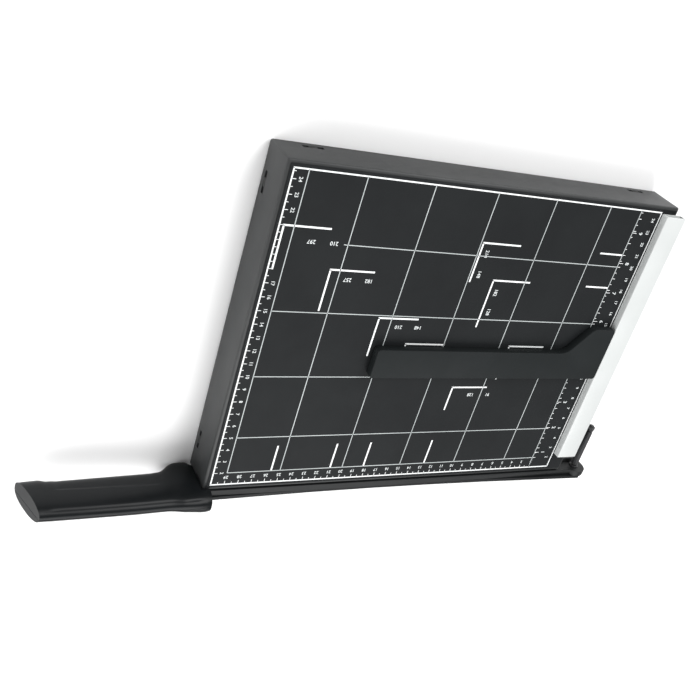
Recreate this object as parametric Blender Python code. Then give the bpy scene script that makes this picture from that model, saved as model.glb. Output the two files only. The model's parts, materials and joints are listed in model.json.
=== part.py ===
"""Guillotine paper cutter for A4 paper: a folded steel bed, a lower blade bar that carries the pivot,
a knife arm with a moulded handle, a fence and a sliding paper guide.

Every size below is in millimetres, in the bench frame: its origin is the zero of the rulers, where the
line of the cut meets the line of the fence on top of the bed. +X points past the cut, +Y to the pivot
end, +Z up. The part's own frame has its origin under the middle of the whole object, on the table.
"""

import math

import bmesh
import bpy
from mathutils import Vector

MM = 0.001
GAP = 0.3

# How far a cutter runs past the face that it cuts.
OVERRUN = 3.0

# Bed: a folded sheet-steel tray, open underneath.
BED_LEFT = -252.0
BED_RIGHT = -5.0
BED_FRONT = -305.0
BED_BACK = 16.5
SHEET_FILM = 0.35
BED_TOP = -SHEET_FILM - GAP
BED_BOTTOM = -30.2
STEEL = 1.2
TRAY_BEND = 1.4
FILM_MARGIN = 2.5

# Corner feet and the wall slots that their snap tabs reach through.
FOOT_DROP = 2.4
FOOT_SIZE = 34.0
FOOT_TOP = -20.5
FOOT_CORNER = 2.0
FOOT_WALL = 2.4
FOOT_SOLE = 4.0
SLOT_FROM_CORNER = 26.0
SLOT_LENGTH = 14.6
SLOT_HEIGHT = 3.2
SLOT_MIDDLE = -24.6
TAB_LENGTH = 6.4
TAB_HEIGHT = 2.2
TAB_ROOT = 1.5
TABLE = BED_BOTTOM - FOOT_DROP

# Lower blade bar beside the bed, with the pivot lobe behind it.
BAR_INNER = -4.5
BAR_OUTER = 0.0
BAR_DEPTH = 18.0
BAR_REAR_DEPTH = 27.0
PIVOT_Y = 36.5
PIVOT_Z = -5.8
BAR_LOBE_RADIUS = 10.0
BAR_FRONT = BED_FRONT + 0.5
BAR_CHAMFER = 3.0
BAR_STEP = (BED_BACK - 8.0, BED_BACK + 1.0)
BAR_HOLE_DEPTH = 3.4
BAR_SCREW_Y = (-282.0, -190.0, -98.0, -6.0)
BAR_SCREW_Z = -9.5

# Knife arm: it turns about the pivot and slides down along the lower bar.
ARM_INNER = BAR_OUTER + GAP
ARM_THICKNESS = 2.6
ARM_OUTER = ARM_INNER + ARM_THICKNESS
ARM_FRONT = -297.0
ARM_LOBE_RADIUS = 9.2
ARM_LOBE_SPREAD = 78.0
ARM_LOW_Y = -160.0
ARM_LOW_Z = -1.0
ARM_BOW = 1.15e-4
ARM_EDGE_FRONT = -24.0
ARM_EDGE_BELLY = 5.5
EDGE_LAND = 0.7
EDGE_GRIND = 4.0
TANG_TOP = -2.0
TANG_BOTTOM = -15.0
TANG_TIP = -398.0
TANG_CORNER = 3.0

# Handle: two half shells that meet on the arm's middle plane.
HANDLE_MIDDLE = 0.5 * (ARM_INNER + ARM_OUTER)
HANDLE_REAR = -298.6
HANDLE_TIP = -424.5
HANDLE_TIP_SLANT = 10.0
HANDLE_LEAN = 0.8
COLLAR_HALF = 9.0
COLLAR_CLEAR_Y = BED_FRONT - 0.9
COLLAR_REST_Z = 0.5
HANDLE_SCREW_Y = (-385.0, -322.0)
HANDLE_SCREW_Z = -8.5
HANDLE_SCREW_LENGTH = 7.0
HANDLE_HEAD_SEAT = 2.6
HANDLE_HEAD_BORE = 4.2
HANDLE_THREAD_BORE = 1.9
HANDLE_SHANK_BORE = 2.3
HANDLE_HOLE_DEPTH = 4.5

# Fence: a thin-walled extrusion, open at both ends.
FENCE_LEFT = -246.5
FENCE_RIGHT = -23.7
FENCE_FRONT = 0.9
FENCE_BACK = 20.0
FENCE_TOP = 6.4
FENCE_WALL = 1.1
FENCE_EDGE = 0.5
FENCE_SCREW_X = (-222.0, -135.0, -48.0)
FENCE_SCREW_Y = 9.5

# Paper guide: a T-shaped moulding that runs square along the fence.
GUIDE_RIGHT = -103.3
GUIDE_LEFT = -126.6
GUIDE_FRONT = -206.5
GUIDE_BACK = FENCE_FRONT - GAP
GUIDE_FOOT_LEFT = -148.8
GUIDE_SHOULDER = (-39.0, -20.5)
GUIDE_TOP = 6.9
GUIDE_EDGE = 0.6
GUIDE_CORNERS = (2.0, 2.5, 3.0)
SHOULDER_ROUND = 8.0
SHOULDER_FILLET = 12.0
CORE_SIDE = 5.6
CORE_DEPTH = 4.4
CORE_LENGTH = 36.0
CORES_Y = (-178.0, -138.0, -82.0, -42.0)
MAGNET_RADIUS = 6.0
MAGNET_HEIGHT = 3.0
MAGNETS = ((-126.0, -11.0), (-114.9, -95.0), (-114.9, -190.0))

# Pivot hardware on the X axis through (PIVOT_Y, PIVOT_Z).
BOLT_RADIUS = 2.5
BOLT_SHOULDER_END = BAR_INNER + GAP
BOLT_SHANK = 1.75
BOLT_INNER_END = -47.6
BOLT_CHAMFER = 0.4
BOLT_HEAD_RADIUS = 4.6
BOLT_HEAD_START = 1.1
BOLT_HEAD_SUNK = 0.1
SEAT_START = 0.8
SEAT_RADIUS = 5.0
SPRING_WIRE = 1.1
SPRING_MEAN_RADIUS = 2.65
SPRING_TURNS = 27
SPRING_NEAR = -6.6
SPRING_FAR = -41.8
WASHER_RADIUS = 4.0
WASHER_HEIGHT = 0.9
SPRING_WASHER_RADIUS = 3.2
NUT_FLATS = 6.0
NUT_HEIGHT = 2.8

# Pivot bracket: a steel angle screwed to the back wall and to the lower bar.
BRACKET_STEEL = 3.0
BRACKET_BEND = 4.0
BRACKET_LEFT = -44.0
BRACKET_TOP = -11.6
BRACKET_BOTTOM = -26.5
BRACKET_END = 44.0
BRACKET_BACK_SCREWS_X = (-34.0, -18.0)
BRACKET_SIDE_SCREWS_Y = (27.0, 38.0)
BRACKET_WALL_SCREW_Z = -15.6
BRACKET_SIDE_SCREW_Z = -20.5

# Screws: (shank radius, head radius, head height), and the radius of the holes that clear them.
BODY_SCREW = (1.6, 3.5, 2.2)
BODY_HOLE = 1.9
FENCE_SCREW = (1.5, 3.0, 2.0)
FENCE_HOLE = 1.9
HANDLE_SCREW = (1.6, 3.7, 2.2)
BAR_SCREW_LENGTH = 4.3
WALL_SCREW_LENGTH = 7.0
SIDE_SCREW_LENGTH = 6.0
FENCE_SCREW_LENGTH = 6.4

ROUND = 20

# The part frame: origin at the middle of the bounding box, on the table.
PART_LEFT = BED_LEFT
PART_RIGHT = HANDLE_MIDDLE + COLLAR_HALF
PART_FRONT = HANDLE_TIP
PART_BACK = PIVOT_Y + BAR_LOBE_RADIUS
ORIGIN = Vector((0.5 * (PART_LEFT + PART_RIGHT), 0.5 * (PART_FRONT + PART_BACK), TABLE))


def part_frame(x, y, z):
    """Bench-frame millimetres to part-frame metres."""
    return (Vector((x, y, z)) - ORIGIN) * MM


def clear_scene():
    for item in list(bpy.data.objects):
        bpy.data.objects.remove(item, do_unlink=True)


# ---------------------------------------------------------------- materials

def material(name, colour, roughness, metallic=0.0):
    made = bpy.data.materials.new(name)
    made.use_nodes = True
    shader = made.node_tree.nodes["Principled BSDF"]
    shader.inputs["Base Color"].default_value = (*colour, 1.0)
    shader.inputs["Roughness"].default_value = roughness
    shader.inputs["Metallic"].default_value = metallic
    return made


def make_materials():
    return {
        "black_paint": material("black_paint", (0.035, 0.037, 0.04), 0.5),
        "printed_film": material("printed_film", (0.03, 0.032, 0.035), 0.42),
        "blade_steel": material("blade_steel", (0.05, 0.052, 0.055), 0.4, 0.6),
        "white_plastic": material("white_plastic", (0.86, 0.87, 0.85), 0.45),
        "black_plastic": material("black_plastic", (0.025, 0.026, 0.028), 0.55),
        "handle_plastic": material("handle_plastic", (0.025, 0.026, 0.028), 0.32),
        "foot_rubber": material("foot_rubber", (0.02, 0.02, 0.02), 0.8),
        "zinc": material("zinc", (0.55, 0.56, 0.57), 0.35, 1.0),
        "black_oxide": material("black_oxide", (0.04, 0.04, 0.042), 0.4, 0.8),
        "magnet": material("magnet", (0.10, 0.10, 0.105), 0.6),
    }


# ---------------------------------------------------------------- mesh helpers

def finish_object(name, mesh_edit, look=None, smooth_angle=None):
    """Turn a bmesh in bench-frame millimetres into an object in part-frame metres."""
    for vert in mesh_edit.verts:
        vert.co = part_frame(*vert.co)
    bmesh.ops.recalc_face_normals(mesh_edit, faces=mesh_edit.faces[:])
    mesh = bpy.data.meshes.new(name)
    mesh_edit.to_mesh(mesh)
    mesh_edit.free()
    made = bpy.data.objects.new(name, mesh)
    bpy.context.scene.collection.objects.link(made)
    if look is not None:
        mesh.materials.append(look)
    if smooth_angle is not None:
        mesh.shade_smooth()
        mesh.set_sharp_from_angle(angle=math.radians(smooth_angle))
    return made


def add_box(mesh_edit, low, high):
    corners = [mesh_edit.verts.new((x, y, z)) for z in (low[2], high[2])
               for y in (low[1], high[1]) for x in (low[0], high[0])]
    for face in ((0, 2, 3, 1), (4, 5, 7, 6), (0, 1, 5, 4), (2, 6, 7, 3), (0, 4, 6, 2), (1, 3, 7, 5)):
        mesh_edit.faces.new([corners[i] for i in face])


def boxes(name, pairs, look=None):
    mesh_edit = bmesh.new()
    for low, high in pairs:
        add_box(mesh_edit, low, high)
    return finish_object(name, mesh_edit, look)


def rounded(points, steps=4):
    """Outline from (a, b, radius) corners, each corner replaced by an arc of its radius."""
    outline = []
    count = len(points)
    for i, (a, b, radius) in enumerate(points):
        here = Vector((a, b))
        if radius <= 0.0:
            outline.append((a, b))
            continue
        before = (Vector(points[i - 1][:2]) - here).normalized()
        after = (Vector(points[(i + 1) % count][:2]) - here).normalized()
        half = 0.5 * before.angle(after)
        centre = here + (before + after).normalized() * (radius / math.sin(half))
        start = here + before * (radius / math.tan(half)) - centre
        end = here + after * (radius / math.tan(half)) - centre
        turn = start.angle_signed(end)
        for k in range(steps + 1):
            angle = -turn * k / steps
            spoke = Vector((start.x * math.cos(angle) - start.y * math.sin(angle),
                            start.x * math.sin(angle) + start.y * math.cos(angle)))
            outline.append(tuple(centre + spoke))
    return outline


def layered(name, layers, look=None, smooth_angle=None):
    """Closed body from outlines of equal point count, given as lists of bench-frame points."""
    mesh_edit = bmesh.new()
    rings = [[mesh_edit.verts.new(point) for point in layer] for layer in layers]
    mesh_edit.faces.new(rings[0][::-1])
    mesh_edit.faces.new(rings[-1])
    for lower, upper in zip(rings, rings[1:]):
        for i in range(len(lower)):
            j = (i + 1) % len(lower)
            mesh_edit.faces.new((lower[i], lower[j], upper[j], upper[i]))
    return finish_object(name, mesh_edit, look, smooth_angle)


def plate_x(name, outline, x_low, x_high, look=None):
    """Plate across X from an outline of (y, z) points."""
    return layered(name, [[(x, y, z) for y, z in outline] for x in (x_low, x_high)], look)


def plate_z(name, outline, z_low, z_high, look=None):
    """Plate across Z from an outline of (x, y) points."""
    return layered(name, [[(x, y, z) for x, y in outline] for z in (z_low, z_high)], look)


def add_turned(mesh_edit, profile, foot, axis, segments=ROUND):
    """Solid of revolution: profile is (distance along axis, radius) and starts and ends on the axis,
    or is a closed ring profile when no radius is zero."""
    foot = Vector(foot)
    axis = Vector(axis).normalized()
    side = axis.orthogonal().normalized()
    chain = [mesh_edit.verts.new(foot + axis * along + side * radius) for along, radius in profile]
    closed = all(radius > 0.0 for _, radius in profile)
    edges = [mesh_edit.edges.new(pair) for pair in zip(chain, chain[1:])]
    if closed:
        edges.append(mesh_edit.edges.new((chain[-1], chain[0])))
    bmesh.ops.spin(mesh_edit, geom=chain + edges, cent=foot, axis=axis, angle=2.0 * math.pi,
                   steps=segments, use_merge=True)
    bmesh.ops.remove_doubles(mesh_edit, verts=mesh_edit.verts[:], dist=0.001)


def turned(name, profile, feet, axis, look=None, segments=ROUND):
    """One turned piece, or a cutter with one turned body at each of several feet."""
    mesh_edit = bmesh.new()
    for foot in feet:
        add_turned(mesh_edit, profile, foot, axis, segments)
    return finish_object(name, mesh_edit, look, 35.0)


def repeated(name, profile, places, look, segments=12):
    """Equal turned pieces: one shared mesh, and one numbered object for each (foot, axis)."""
    mesh_edit = bmesh.new()
    add_turned(mesh_edit, profile, ORIGIN, (0, 0, 1), segments)
    pattern = finish_object(f"{name}_1", mesh_edit, look, 35.0)
    for number, (foot, axis) in enumerate(places, 1):
        piece = pattern
        if number > 1:
            piece = bpy.data.objects.new(f"{name}_{number}", pattern.data)
            bpy.context.scene.collection.objects.link(piece)
        piece.location = part_frame(*foot)
        piece.rotation_euler = Vector(axis).to_track_quat("Z", "Y").to_euler()


def combine(target, tool, operation):
    """Boolean of target with tool, which stays in the file as a hidden wire."""
    tool.display_type = "WIRE"
    tool.hide_render = True
    tool.hide_set(True)
    modifier = target.modifiers.new(tool.name, "BOOLEAN")
    modifier.operation = operation
    modifier.solver = "EXACT"
    modifier.object = tool


def cut(target, tool):
    combine(target, tool, "DIFFERENCE")


def bevel(target, width, segments=2, angle=40.0):
    modifier = target.modifiers.new("edge_bevel", "BEVEL")
    modifier.width = width * MM
    modifier.segments = segments
    modifier.limit_method = "ANGLE"
    modifier.angle_limit = math.radians(angle)


def rod_profile(radius, length, start=0.0):
    return [(start, 0.0), (start, radius), (start + length, radius), (start + length, 0.0)]


def ring_profile(inner, outer, low, high):
    return [(low, inner), (high, inner), (high, outer), (low, outer)]


def holes(name, radius, centres, axis, reach=OVERRUN):
    """Cutter for round holes: a rod along the axis through each centre, reach long on each side."""
    return turned(name, rod_profile(radius, 2.0 * reach, -reach), centres, axis)


def pan_screw(sizes, shank_length):
    """Profile of a pan-head screw, with its shank along the axis and its head behind the origin."""
    shank_radius, head_radius, head_height = sizes
    return [(-head_height, 0.0), (-head_height, 0.55 * head_radius),
            (-0.75 * head_height, 0.86 * head_radius), (-0.35 * head_height, head_radius),
            (0.0, head_radius), (0.0, shank_radius), (shank_length - 0.6, shank_radius),
            (shank_length, 0.6 * shank_radius), (shank_length, 0.0)]


# ---------------------------------------------------------------- bed

def wall_slots():
    """Boxes through the four walls at every slot."""
    half_length = 0.5 * SLOT_LENGTH
    half_height = 0.5 * SLOT_HEIGHT
    low_z = SLOT_MIDDLE - half_height
    high_z = SLOT_MIDDLE + half_height
    found = []
    for x in (BED_LEFT + SLOT_FROM_CORNER, BED_RIGHT - SLOT_FROM_CORNER):
        for wall in (BED_FRONT, BED_BACK):
            found.append(((x - half_length, wall - OVERRUN, low_z),
                          (x + half_length, wall + OVERRUN, high_z)))
    for y in (BED_FRONT + SLOT_FROM_CORNER, BED_BACK - SLOT_FROM_CORNER):
        for wall in (BED_LEFT, BED_RIGHT):
            found.append(((wall - OVERRUN, y - half_length, low_z),
                          (wall + OVERRUN, y + half_length, high_z)))
    return found


def make_tray(looks):
    below = BED_BOTTOM - OVERRUN
    tray = boxes("base_tray", [((BED_LEFT, BED_FRONT, below), (BED_RIGHT, BED_BACK, BED_TOP))],
                 looks["black_paint"])
    bevel(tray, TRAY_BEND)
    hollow = boxes("tray_hollow", [((BED_LEFT + STEEL, BED_FRONT + STEEL, below - OVERRUN),
                                    (BED_RIGHT - STEEL, BED_BACK - STEEL, BED_TOP - STEEL))])
    cut(tray, hollow)
    cut(tray, boxes("tray_trim", [((BED_LEFT - OVERRUN, BED_FRONT - OVERRUN, below - OVERRUN),
                                   (BED_RIGHT + OVERRUN, BED_BACK + OVERRUN, BED_BOTTOM))]))
    cut(tray, boxes("tray_slots", wall_slots()))
    cut(tray, holes("tray_bar_holes", BODY_HOLE,
                    [(BED_RIGHT, y, BAR_SCREW_Z) for y in BAR_SCREW_Y], (1, 0, 0)))
    cut(tray, holes("tray_back_holes", BODY_HOLE,
                    [(x, BED_BACK, BRACKET_WALL_SCREW_Z) for x in BRACKET_BACK_SCREWS_X], (0, 1, 0)))
    cut(tray, fence_holes("tray_fence_holes"))
    return tray


def fence_holes(name):
    """Cutter for the fence's screw holes through the bed, its film and the fence's lower wall."""
    return holes(name, FENCE_HOLE, [(x, FENCE_SCREW_Y, 0.0) for x in FENCE_SCREW_X], (0, 0, 1))


def make_film(looks):
    film = boxes("grid_sheet", [((BED_LEFT + FILM_MARGIN, BED_FRONT + FILM_MARGIN, -SHEET_FILM),
                                 (BED_RIGHT - FILM_MARGIN, BED_BACK - FILM_MARGIN, 0.0))],
                 looks["printed_film"])
    cut(film, fence_holes("film_fence_holes"))
    return film


def make_foot(name, x_side, y_side, looks):
    """Moulded corner block, open upwards, with a snap tab for the slot in each of its two walls."""
    inner = STEEL + GAP
    corner_x = BED_LEFT + inner if x_side < 0 else BED_RIGHT - inner
    corner_y = BED_FRONT + inner if y_side < 0 else BED_BACK - inner
    far_x = corner_x - x_side * FOOT_SIZE
    far_y = corner_y - y_side * FOOT_SIZE
    low_x, high_x = sorted((corner_x, far_x))
    low_y, high_y = sorted((corner_y, far_y))
    outline = rounded([(x, y, FOOT_CORNER) for x, y in ((low_x, low_y), (high_x, low_y),
                                                        (high_x, high_y), (low_x, high_y))], 3)
    foot = plate_z(name, outline, TABLE, FOOT_TOP, looks["foot_rubber"])
    slot_x = BED_LEFT + SLOT_FROM_CORNER if x_side < 0 else BED_RIGHT - SLOT_FROM_CORNER
    slot_y = BED_FRONT + SLOT_FROM_CORNER if y_side < 0 else BED_BACK - SLOT_FROM_CORNER
    half = 0.5 * TAB_LENGTH
    low_z = SLOT_MIDDLE - 0.5 * TAB_HEIGHT
    high_z = SLOT_MIDDLE + 0.5 * TAB_HEIGHT
    tab_x = sorted((corner_x - x_side * TAB_ROOT, corner_x + x_side * inner))
    tab_y = sorted((corner_y - y_side * TAB_ROOT, corner_y + y_side * inner))
    side_tab = boxes(name + "_side_tab", [((tab_x[0], slot_y - half, low_z),
                                           (tab_x[1], slot_y + half, high_z))])
    end_tab = boxes(name + "_end_tab", [((slot_x - half, tab_y[0], low_z),
                                         (slot_x + half, tab_y[1], high_z))])
    combine(foot, side_tab, "UNION")
    combine(foot, end_tab, "UNION")
    pocket = boxes(name + "_pocket", [((low_x + FOOT_WALL, low_y + FOOT_WALL, TABLE + FOOT_SOLE),
                                       (high_x - FOOT_WALL, high_y - FOOT_WALL, FOOT_TOP + OVERRUN))])
    cut(foot, pocket)
    return foot


# ---------------------------------------------------------------- lower blade bar and bracket

def lobe_arc(radius, start_deg, end_deg, steps):
    """Points (y, z) round the pivot, from one angle to another; 0 degrees points to +Y."""
    points = []
    for k in range(steps + 1):
        angle = math.radians(start_deg + (end_deg - start_deg) * k / steps)
        points.append((PIVOT_Y + radius * math.cos(angle), PIVOT_Z + radius * math.sin(angle)))
    return points


def make_lower_bar(looks):
    lobe_start = 180.0 - math.degrees(math.asin(-PIVOT_Z / BAR_LOBE_RADIUS))
    outline = [(BAR_FRONT, 0.0)]
    outline += lobe_arc(BAR_LOBE_RADIUS, lobe_start, 0.0, 10)
    outline += [(PIVOT_Y + BAR_LOBE_RADIUS, -BAR_REAR_DEPTH + BAR_CHAMFER),
                (PIVOT_Y + BAR_LOBE_RADIUS - BAR_CHAMFER, -BAR_REAR_DEPTH),
                (BAR_STEP[1], -BAR_REAR_DEPTH), (BAR_STEP[0], -BAR_DEPTH), (BAR_FRONT, -BAR_DEPTH)]
    bar = plate_x("fixed_blade", outline[::-1], BAR_INNER, BAR_OUTER, looks["blade_steel"])
    places = [(BAR_INNER, y, BAR_SCREW_Z) for y in BAR_SCREW_Y]
    places += [(BAR_INNER, y, BRACKET_SIDE_SCREW_Z) for y in BRACKET_SIDE_SCREWS_Y]
    cut(bar, holes("bar_screw_holes", BODY_HOLE, places, (1, 0, 0), BAR_HOLE_DEPTH))
    middle = 0.5 * (BAR_INNER + BAR_OUTER)
    cut(bar, holes("bar_pivot_hole", BOLT_RADIUS + GAP, [(middle, PIVOT_Y, PIVOT_Z)], (1, 0, 0)))
    return bar


def make_bracket(looks):
    """Steel angle: one leg on the back wall, the other along the lower bar."""
    wall = BED_BACK + GAP
    side = BAR_INNER - GAP
    thick = BRACKET_STEEL
    outline = rounded([(BRACKET_LEFT, wall, 0.0), (side, wall, BRACKET_BEND), (side, BRACKET_END, 0.0),
                       (side - thick, BRACKET_END, 0.0), (side - thick, wall + thick, BRACKET_BEND - thick),
                       (BRACKET_LEFT, wall + thick, 0.0)], 4)
    bracket = plate_z("pivot_bracket", outline, BRACKET_BOTTOM, BRACKET_TOP, looks["black_paint"])
    back = [(x, wall + 0.5 * thick, BRACKET_WALL_SCREW_Z) for x in BRACKET_BACK_SCREWS_X]
    cut(bracket, holes("bracket_back_holes", BODY_HOLE, back, (0, 1, 0)))
    beside = [(side - 0.5 * thick, y, BRACKET_SIDE_SCREW_Z) for y in BRACKET_SIDE_SCREWS_Y]
    cut(bracket, holes("bracket_side_holes", BODY_HOLE, beside, (1, 0, 0)))
    return bracket


def make_hidden_screws(looks):
    """Screws of the lower bar, the bracket and the fence, whose heads are inside or under the bed."""
    wall_inside = BED_RIGHT - STEEL - GAP
    repeated("fixed_blade_screw", pan_screw(BODY_SCREW, BAR_SCREW_LENGTH),
             [((wall_inside, y, BAR_SCREW_Z), (1, 0, 0)) for y in BAR_SCREW_Y], looks["zinc"])
    repeated("bracket_wall_screw", pan_screw(BODY_SCREW, WALL_SCREW_LENGTH),
             [((x, BED_BACK - STEEL - GAP, BRACKET_WALL_SCREW_Z), (0, 1, 0))
              for x in BRACKET_BACK_SCREWS_X], looks["zinc"])
    repeated("bracket_side_screw", pan_screw(BODY_SCREW, SIDE_SCREW_LENGTH),
             [((BAR_INNER - 2.0 * GAP - BRACKET_STEEL, y, BRACKET_SIDE_SCREW_Z), (1, 0, 0))
              for y in BRACKET_SIDE_SCREWS_Y], looks["zinc"])
    repeated("fence_screw", pan_screw(FENCE_SCREW, FENCE_SCREW_LENGTH),
             [((x, FENCE_SCREW_Y, BED_TOP - STEEL - GAP), (0, 0, 1)) for x in FENCE_SCREW_X],
             looks["zinc"])


# ---------------------------------------------------------------- fence and guide

def make_fence(looks):
    low_z = GAP
    fence = boxes("fence", [((FENCE_LEFT, FENCE_FRONT, low_z), (FENCE_RIGHT, FENCE_BACK, FENCE_TOP))],
                  looks["white_plastic"])
    bevel(fence, FENCE_EDGE)
    tube = boxes("fence_tube", [((FENCE_LEFT - OVERRUN, FENCE_FRONT + FENCE_WALL, low_z + FENCE_WALL),
                                 (FENCE_RIGHT + OVERRUN, FENCE_BACK - FENCE_WALL, FENCE_TOP - FENCE_WALL))])
    cut(fence, tube)
    cut(fence, fence_holes("fence_wall_holes"))
    return fence


def make_guide(looks):
    shoulder_front, shoulder_back = GUIDE_SHOULDER
    front_corner, right_corner, left_corner = GUIDE_CORNERS
    outline = rounded([(GUIDE_RIGHT, GUIDE_FRONT, front_corner), (GUIDE_RIGHT, GUIDE_BACK, right_corner),
                       (GUIDE_FOOT_LEFT, GUIDE_BACK, left_corner),
                       (GUIDE_FOOT_LEFT, shoulder_back, SHOULDER_ROUND),
                       (GUIDE_LEFT, shoulder_front, SHOULDER_FILLET),
                       (GUIDE_LEFT, GUIDE_FRONT, front_corner)], 5)
    low_z = GAP
    guide = plate_z("paper_guide", outline, low_z, GUIDE_TOP, looks["black_plastic"])
    bevel(guide, GUIDE_EDGE)
    cut(guide, holes("guide_magnet_pockets", MAGNET_RADIUS + GAP, [(x, y, low_z) for x, y in MAGNETS],
                     (0, 0, 1), MAGNET_HEIGHT + GAP))
    cut(guide, boxes("guide_cores", [((GUIDE_LEFT + CORE_SIDE, y, low_z - OVERRUN),
                                      (GUIDE_RIGHT - CORE_SIDE, y + CORE_LENGTH, low_z + CORE_DEPTH))
                                     for y in CORES_Y]))
    repeated("guide_magnet", rod_profile(MAGNET_RADIUS, MAGNET_HEIGHT),
             [((x, y, low_z), (0, 0, 1)) for x, y in MAGNETS], looks["magnet"], ROUND)
    return guide


# ---------------------------------------------------------------- knife arm and pivot

def arm_edge(y):
    """Height of the cutting edge, which bellies down between its two ends."""
    middle = 0.5 * (ARM_FRONT + BED_BACK)
    share = (y - middle) / (BED_BACK - middle)
    return ARM_EDGE_FRONT - ARM_EDGE_BELLY * (1.0 - share * share)


def arm_outline(edge_lift):
    """Outline (y, z) of the arm; edge_lift raises the cutting edge, for the ground face."""
    steps = 12
    span = BED_BACK - ARM_FRONT
    along = [ARM_FRONT + span * k / steps for k in range(steps + 1)]
    top = [(y, ARM_LOW_Z + ARM_BOW * (y - ARM_LOW_Y) ** 2) for y in along]
    edge = [(y, arm_edge(y) + edge_lift) for y in reversed(along)]
    rear = lobe_arc(ARM_LOBE_RADIUS, ARM_LOBE_SPREAD, -ARM_LOBE_SPREAD, 3)
    tang = [(ARM_FRONT, TANG_BOTTOM), (TANG_TIP + TANG_CORNER, TANG_BOTTOM),
            (TANG_TIP, TANG_BOTTOM + TANG_CORNER), (TANG_TIP, TANG_TOP - TANG_CORNER),
            (TANG_TIP + TANG_CORNER, TANG_TOP), (ARM_FRONT - 0.5, TANG_TOP)]
    return top + rear + edge + tang


def arm_layer(x, edge_lift):
    return [(x, y, z) for y, z in arm_outline(edge_lift)]


def make_arm(looks):
    layers = [arm_layer(ARM_INNER, 0.0), arm_layer(ARM_INNER + EDGE_LAND, 0.0),
              arm_layer(ARM_OUTER, EDGE_GRIND)]
    arm = layered("cutting_arm", layers, looks["blade_steel"])
    bore = BOLT_RADIUS + GAP
    bolt_seat = [(-OVERRUN, 0.0), (-OVERRUN, bore), (SEAT_START, bore), (ARM_THICKNESS, SEAT_RADIUS),
                 (ARM_THICKNESS + OVERRUN, SEAT_RADIUS), (ARM_THICKNESS + OVERRUN, 0.0)]
    cut(arm, turned("arm_bolt_seat", bolt_seat, [(ARM_INNER, PIVOT_Y, PIVOT_Z)], (1, 0, 0)))
    cut(arm, holes("arm_tang_holes", BODY_HOLE,
                   [(HANDLE_MIDDLE, y, HANDLE_SCREW_Z) for y in HANDLE_SCREW_Y], (1, 0, 0)))
    return arm


def make_pivot(looks):
    foot = [(0.0, PIVOT_Y, PIVOT_Z)]
    head = ARM_OUTER - BOLT_HEAD_SUNK
    bolt = [(BOLT_INNER_END, 0.0), (BOLT_INNER_END, BOLT_SHANK - BOLT_CHAMFER),
            (BOLT_INNER_END + BOLT_CHAMFER, BOLT_SHANK), (BOLT_SHOULDER_END, BOLT_SHANK),
            (BOLT_SHOULDER_END, BOLT_RADIUS), (ARM_INNER + BOLT_HEAD_START, BOLT_RADIUS),
            (head, BOLT_HEAD_RADIUS), (head, 0.0)]
    turned("pivot_bolt", bolt, foot, (1, 0, 0), looks["black_oxide"])
    bore = BOLT_SHANK + GAP
    near = BAR_INNER - GAP
    turned("pivot_washer_inner", ring_profile(bore, WASHER_RADIUS, near - WASHER_HEIGHT, near), foot,
           (1, 0, 0), looks["black_oxide"])
    far = SPRING_FAR - 0.5 * SPRING_WIRE - GAP
    turned("pivot_washer_outer",
           ring_profile(bore, SPRING_WASHER_RADIUS, far - WASHER_HEIGHT, far), foot, (1, 0, 0),
           looks["black_oxide"])
    nut_near = far - WASHER_HEIGHT - GAP
    nut_far = nut_near - NUT_HEIGHT
    corner = NUT_FLATS / math.sqrt(3.0)
    hexagon = [(nut_far, 0.0), (nut_far, corner - BOLT_CHAMFER), (nut_far + BOLT_CHAMFER, corner),
               (nut_near, corner), (nut_near, 0.0)]
    nut = turned("pivot_nut", hexagon, foot, (1, 0, 0), looks["black_oxide"], 6)
    cut(nut, holes("nut_bore", bore, [(nut_far, PIVOT_Y, PIVOT_Z)], (1, 0, 0), NUT_HEIGHT + OVERRUN))


def make_spring(looks):
    """Compression spring: a wire swept along a helix round the bolt, with flat-capped ends."""
    per_turn = 9
    sides = 5
    mesh_edit = bmesh.new()
    rings = []
    total = SPRING_TURNS * per_turn
    for i in range(total + 1):
        angle = 2.0 * math.pi * i / per_turn
        x = SPRING_NEAR + (SPRING_FAR - SPRING_NEAR) * i / total
        radial = Vector((0.0, math.cos(angle), math.sin(angle)))
        centre = Vector((x, PIVOT_Y, PIVOT_Z)) + radial * SPRING_MEAN_RADIUS
        ring = []
        for k in range(sides):
            turn = 2.0 * math.pi * k / sides
            spoke = radial * math.cos(turn) + Vector((1.0, 0.0, 0.0)) * math.sin(turn)
            ring.append(mesh_edit.verts.new(centre + spoke * 0.5 * SPRING_WIRE))
        rings.append(ring)
    for lower, upper in zip(rings, rings[1:]):
        for k in range(sides):
            j = (k + 1) % sides
            mesh_edit.faces.new((lower[k], lower[j], upper[j], upper[k]))
    mesh_edit.faces.new(rings[0][::-1])
    mesh_edit.faces.new(rings[-1])
    return finish_object("pivot_spring", mesh_edit, looks["black_oxide"], 50.0)


# ---------------------------------------------------------------- handle

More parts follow.
